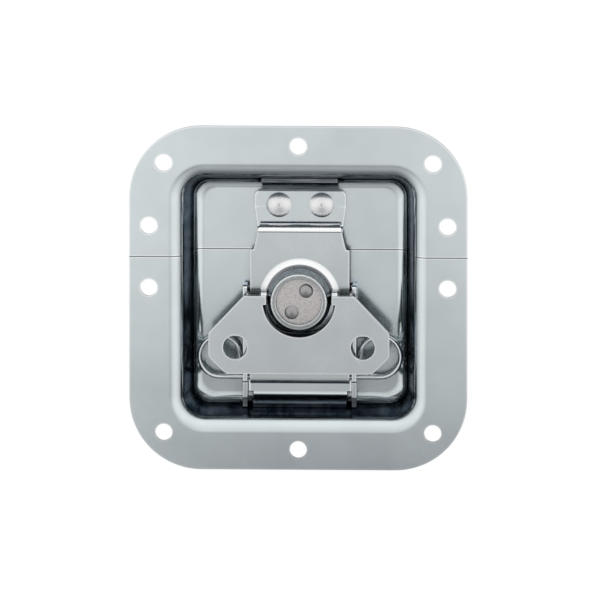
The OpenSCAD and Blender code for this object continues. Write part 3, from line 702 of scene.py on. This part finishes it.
WASHER_HOLE_R = 8.8 * MM
lower_holes = [(AXIS.x, AXIS.y, WASHER_HOLE_R)]
lower_holes += [(*node_centre(f"channel_rivet_{k}").xy, SHANK_R) for k in (1, 2, 3, 4)]
upper_holes = [(*node_centre(f"keeper_rivet_{side}").xy, SHANK_R) for side in ("left", "right")]
CLOSING = 0.12 * MM
lower_dish = dish_half("dish_lower", -REACH, PARTING_LOW + CLOSING, lower_holes)
upper_dish = dish_half("dish_upper", PARTING_HIGH - CLOSING, REACH, upper_holes)
print("dish faces", len(lower_dish.data.polygons), len(upper_dish.data.polygons))

# %% [markdown]
# ## Turned pieces
# Rivets are round, so a lathe suits them: a profile is turned about the rivet's axis, finely enough that
# the tent's reflection runs round it without facets. Edges that turn sharply are kept sharp, and the rest
# is shaded smooth.

# %% Lathe
RIM_ANGLE = math.radians(40)


def lathe(name, profile, centre, body, node, slot, steps=72):
    """Turns (radius, height) points, listed from the axis outwards and back to the axis, about centre."""
    rings = [(r, z) for r, z in profile if r > 0]
    vertices = [(centre[0], centre[1], profile[0][1])]
    for r, z in rings:
        for k in range(steps):
            turn = 2 * math.pi * k / steps
            vertices.append((centre[0] + r * math.cos(turn), centre[1] + r * math.sin(turn), z))
    vertices.append((centre[0], centre[1], profile[-1][1]))
    last = len(vertices) - 1
    faces = [(0, 1 + k, 1 + (k + 1) % steps) for k in range(steps)]
    for level in range(len(rings) - 1):
        for k in range(steps):
            a = 1 + level * steps + k
            b = 1 + level * steps + (k + 1) % steps
            faces.append((a, a + steps, b + steps, b))
    base = 1 + (len(rings) - 1) * steps
    faces += [(last, base + (k + 1) % steps, base + k) for k in range(steps)]
    obj = mesh_object(name, vertices, faces)
    for face in obj.data.polygons:
        face.use_smooth = True
    outwards(obj, RIM_ANGLE)
    obj.data.materials.append(MATERIALS[slot])
    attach(obj, body)
    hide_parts(node)
    return obj


print("rims stay sharp above", round(math.degrees(RIM_ANGLE)), "degrees")

# %% [markdown]
# ## Peened rivets
# The keeper's two rivets have snap heads. A hollow punch leaves a low ball's cap on a short skirt, with
# the small dimple of its middle. The shank and the hidden tail belong to the same profile, which makes
# each rivet one closed piece.

# %% The keeper's two rivets
def snap_head(radius, height, base, dimple_r, dimple_depth, steps=26):
    """A ball's cap, from its middle to its rim, less the dimple."""
    points = []
    ball_r = (radius * radius + height * height) / (2 * height)
    for k in range(steps + 1):
        r = radius * k / steps
        z = base + height - ball_r + math.sqrt(ball_r * ball_r - r * r)
        if r < dimple_r:
            z -= dimple_depth * (0.5 + 0.5 * math.cos(math.pi * r / dimple_r))
        points.append((r, z))
    return points


KEEPER_SHEET = 1.2 * MM
KEEPER_TOP = FLOOR_Z + KEEPER_SHEET
SKIRT = 0.8 * MM
DIMPLE_R = 0.55 * MM
DIMPLE_DEPTH = 0.3 * MM
TAIL_R = 2.6 * MM
TAIL_H = 0.8 * MM
for side in ("left", "right"):
    node = f"keeper_rivet_{side}"
    low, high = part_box(node)
    head_r = (high.x - low.x) / 2
    cap_h = high.z - KEEPER_TOP - SKIRT
    head = snap_head(head_r, cap_h, KEEPER_TOP + SKIRT, DIMPLE_R, DIMPLE_DEPTH)
    head.append((head_r, KEEPER_TOP))
    shank = [(SHANK_R, KEEPER_TOP), (SHANK_R, low.z + TAIL_H)]
    tail = [(TAIL_R, low.z + TAIL_H), (TAIL_R, low.z), (0, low.z)]
    made = lathe(node + "_turned", head + shank + tail, node_centre(node), "root", node, "rivet_plating")
    print(node, "head", round(head_r / MM, 2), "mm, faces", len(made.data.polygons))

# %% [markdown]
# ## Wires
# The long spring is round wire. A curve with a round bevel is the natural way to make wire: its path is
# worked out, and Blender sweeps the section. The sweep is then turned into a mesh, because only a mesh
# can take the place of a solid.

# %% Wire sweeps
def wire(name, path, radius, body, node, slot):
    curve = bpy.data.curves.new(name, "CURVE")
    curve.dimensions = "3D"
    curve.bevel_depth = radius
    curve.bevel_resolution = 5
    curve.use_fill_caps = True
    spline = curve.splines.new("POLY")
    spline.points.add(len(path) - 1)
    for point, place in zip(spline.points, path):
        point.co = (*place, 1)
    spline.use_smooth = True
    swept = placed(name, curve)
    graph = bpy.context.evaluated_depsgraph_get()
    mesh = bpy.data.meshes.new_from_object(swept.evaluated_get(graph))
    bpy.data.objects.remove(swept)
    solid = placed(name, mesh)
    mesh.shade_smooth()
    mesh.materials.clear()
    mesh.materials.append(MATERIALS[slot])
    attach(solid, body)
    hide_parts(node)
    return solid


WIRE_R = 0.75 * MM
print("wire", 2 * WIRE_R / MM, "mm thick")

# %% [markdown]
# ## The long spring
# The wire runs straight through the claw's knuckle and has a coil and a half on each side. Its path is
# that of the solid, with more points to a turn. Both sides are alike, so one function draws a side and
# the sign mirrors it. The two small springs at the hinge keep their solids, since they lie in the dark
# under the handle.

# %% Path of the long spring
COIL_X = 24.5 * MM
COIL_R = 6.2 * MM
COIL_PITCH = 1.65 * MM
COIL_TURNS = 1.5
SPRING_LOW, SPRING_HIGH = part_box("wire_spring")
WIRE_Y = SPRING_LOW.y + WIRE_R
WIRE_Z = SPRING_HIGH.z - WIRE_R
LEG_END_X = 17.65 * MM


def spring_half(sign):
    points = []
    steps = 108
    for k in range(steps + 1):
        angle = math.radians(-90 + 360 * COIL_TURNS * k / steps)
        points.append((
            sign * (COIL_X + COIL_R * math.cos(angle)),
            WIRE_Y + COIL_R + COIL_R * math.sin(angle),
            WIRE_Z - COIL_PITCH * COIL_TURNS * k / steps,
        ))
    points.append((sign * LEG_END_X, WIRE_Y + 2 * COIL_R, WIRE_Z - COIL_PITCH * COIL_TURNS))
    return points


whole = spring_half(-1)[::-1] + spring_half(1)
spring = wire("wire_spring_round", whole, WIRE_R, "claw", "wire_spring", "spring_wire")
print("spring wire at y", round(WIRE_Y, 4), "z", round(WIRE_Z, 4), "faces", len(spring.data.polygons))

# %% [markdown]
# ## Studio
# Plating shows the room more than itself, so the room is modelled: a small fabric tent, lit from
# outside, as product photographers use. Being close, it also lets the light fall off across the flange.
# Its glow is dimmest on the near side, brightest at the sides and behind, and a little weaker overhead,
# where the camera looks in. A world picture can't fall off across the object, so the tent is a dome of
# mesh. The camera looks through it.

# %% Tent
TENT_RADIUS = 0.35
# Glow by the angle from straight up, as (degrees, brightness)
GLOW_SIDES = (
    (0, 0.80), (5, 0.86), (10, 0.95), (17, 1.00), (24, 1.04), (32, 1.05), (41, 1.04), (50, 1.02),
    (58, 0.96), (67, 0.84), (76, 0.68), (90, 0.42),
)
GLOW_BEHIND = ((0, 0.80), (6, 0.85), (21, 0.95), (37, 1.04), (55, 1.08), (76, 1.00), (90, 0.80))
GLOW_NEAR = (
    (0, 0.80), (5, 0.745), (8, 0.665), (10, 0.615), (12.5, 0.58), (14.6, 0.60), (15.6, 0.42), (17, 0.33),
    (20, 0.38), (27, 0.50), (40, 0.50), (56, 0.36), (74, 0.20), (90, 0.10),
)
PEAK_GLOW = 1.1
DIM = (0.0, 0.006, 0.022)
NEVER_ZERO = 0.00001


def dome(name, radius, rings=24, sectors=64):
    vertices = [(0, 0, radius)]
    for k in range(1, rings + 1):
        tilt = math.pi / 2 * k / rings
        for s in range(sectors):
            turn = 2 * math.pi * s / sectors
            vertices.append((
                radius * math.sin(tilt) * math.cos(turn),
                radius * math.sin(tilt) * math.sin(turn),
                radius * math.cos(tilt),
            ))
    faces = [(0, 1 + s, 1 + (s + 1) % sectors) for s in range(sectors)]
    for k in range(rings - 1):
        for s in range(sectors):
            a = 1 + k * sectors + s
            b = 1 + k * sectors + (s + 1) % sectors
            faces.append((a, a + sectors, b + sectors, b))
    return mesh_object(name, vertices, faces)


def tent_material():
    material = bpy.data.materials.new("tent_fabric")
    material.use_nodes = True
    tree = material.node_tree
    tree.nodes.remove(tree.nodes["Principled BSDF"])
    at = Signal.of(tree, "ShaderNodeTexCoord", out="Object")
    x, y, z = at.node("ShaderNodeVectorMath", {"operation": "NORMALIZE"}, i0=at).split()
    angle = z.maths("ARCCOSINE") * (2 / math.pi)
    across = x * x
    along = y * y
    flat = (across + along).at_least(NEVER_ZERO)
    behind = y.maths("GREATER_THAN", 0.0)
    sides, back, near = (
        angle.ramp(*((degrees / 90, glow / PEAK_GLOW) for degrees, glow in stops))
        for stops in (GLOW_SIDES, GLOW_BEHIND, GLOW_NEAR)
    )
    share = across / flat
    glow = sides * share + (1 - share) * (back * behind + near * (1 - behind))
    colour = glow.tint(DIM, (1, 1, 1))
    emission = colour.node("ShaderNodeEmission", Color=colour, Strength=PEAK_GLOW)
    emission.into(tree.nodes["Material Output"].inputs["Surface"])
    return material


tent = dome("light_tent", TENT_RADIUS)
tent.data.materials.append(tent_material())
tent.data.shade_smooth()
tent.visible_camera = False
tent.visible_shadow = False
print("tent faces", len(tent.data.polygons))

# %% [markdown]
# ## Floor and world
# The photograph's ground is plain white. The floor shows white to the camera and in reflections, and a
# small share of it is matte paper, which keeps the latch's faint shadow. The world outside the tent
# shows the same white, and scatters a little less.

# %% White floor and white world
def seen_directly(tree):
    """1 for rays from the camera and those that metal or glass turns, 0 for scattered light."""
    kinds = ("Is Camera Ray", "Is Glossy Ray", "Is Transmission Ray")
    camera_ray, glossy, through = (Signal.of(tree, "ShaderNodeLightPath", out=kind) for kind in kinds)
    return (camera_ray + glossy + through).at_most(1.0)


def mixed(first, second, share, output):
    """Shows the first shader, and the second one by its share."""
    both = share.node("ShaderNodeMixShader", i0=share, i1=first, i2=second)
    both.into(share.tree.nodes[output].inputs["Surface"])


FLOOR_REACH = 3.0
PAPER = 0.9
PAPER_GLOW = 1.06
WHITE_SHARE = 0.9
ROOM_GREY = 0.7


def floor_material():
    material = bpy.data.materials.new("studio_floor")
    material.use_nodes = True
    tree = material.node_tree
    matte = tree.nodes["Principled BSDF"]
    matte.inputs["Base Color"].default_value = (PAPER, PAPER, PAPER, 1)
    matte.inputs["Roughness"].default_value = 0.9
    paper = Signal(tree, matte.outputs[0])
    lit = paper.node("ShaderNodeEmission", Color=(1, 1, 1, 1), Strength=PAPER_GLOW)
    mixed(paper, lit, seen_directly(tree) * WHITE_SHARE, "Material Output")
    return material


ends = ((-1, -1), (1, -1), (1, 1), (-1, 1))
corners = [(sx * FLOOR_REACH, sy * FLOOR_REACH, 0) for sx, sy in ends]
floor = mesh_object("studio_floor", corners, [(0, 1, 2, 3)])
floor.data.materials.append(floor_material())

world = bpy.data.worlds.new("studio")
bpy.context.scene.world = world
world.use_nodes = True
sky_tree = world.node_tree
background = sky_tree.nodes["Background"]
background.inputs["Color"].default_value = (ROOM_GREY, ROOM_GREY, ROOM_GREY, 1)
room = Signal(sky_tree, background.outputs[0])
white = room.node("ShaderNodeBackground", Color=(1, 1, 1, 1))
mixed(room, white, seen_directly(sky_tree), "World Output")
print("floor", 2 * FLOOR_REACH, "m wide")

# %% [markdown]
# ## Camera
# In the photograph the far rows of holes are as wide apart as the near ones, so the lens was very long.
# The floor of the dish sits 8.6 pixels higher and 2.4 pixels further right than the flange's middle,
# and over 18 mm of depth that is a tilt of 8.3 degrees up and 2.3 degrees to the right.

# %% Camera from the photograph
PHOTO_SIDE = 600
FLANGE_PIXELS = 338.4
FLANGE_CENTRE_PIXELS = (298.2, 298.4)
DISTANCE = 5.0
SENSOR = 36.0
TILT_UP = math.radians(8.3)
TILT_RIGHT = math.radians(2.3)
metres_a_pixel = 2 * FLANGE_HALF[0] / FLANGE_PIXELS
camera_data = bpy.data.cameras.new("camera")
camera = placed("camera", camera_data)
bpy.context.scene.camera = camera
camera_data.sensor_width = SENSOR
camera_data.lens = SENSOR * DISTANCE / (metres_a_pixel * PHOTO_SIDE)
camera_data.clip_end = 4 * DISTANCE
towards = Vector((math.tan(TILT_RIGHT), math.tan(TILT_UP), 1)).normalized()
right = Vector((0, 1, 0)).cross(towards).normalized()
up = towards.cross(right).normalized()
aim = Vector((0, 0, FLANGE_TOP))
aim = aim - right * (FLANGE_CENTRE_PIXELS[0] - PHOTO_SIDE / 2) * metres_a_pixel
aim = aim + up * (FLANGE_CENTRE_PIXELS[1] - PHOTO_SIDE / 2) * metres_a_pixel
turn = Matrix((right, up, towards)).transposed().to_4x4()
camera.matrix_world = Matrix.Translation(aim + towards * DISTANCE) @ turn
bpy.context.scene.view_settings.view_transform = "Standard"
print("lens", round(camera_data.lens, 1), "mm")

# %% [markdown]
# ## The end
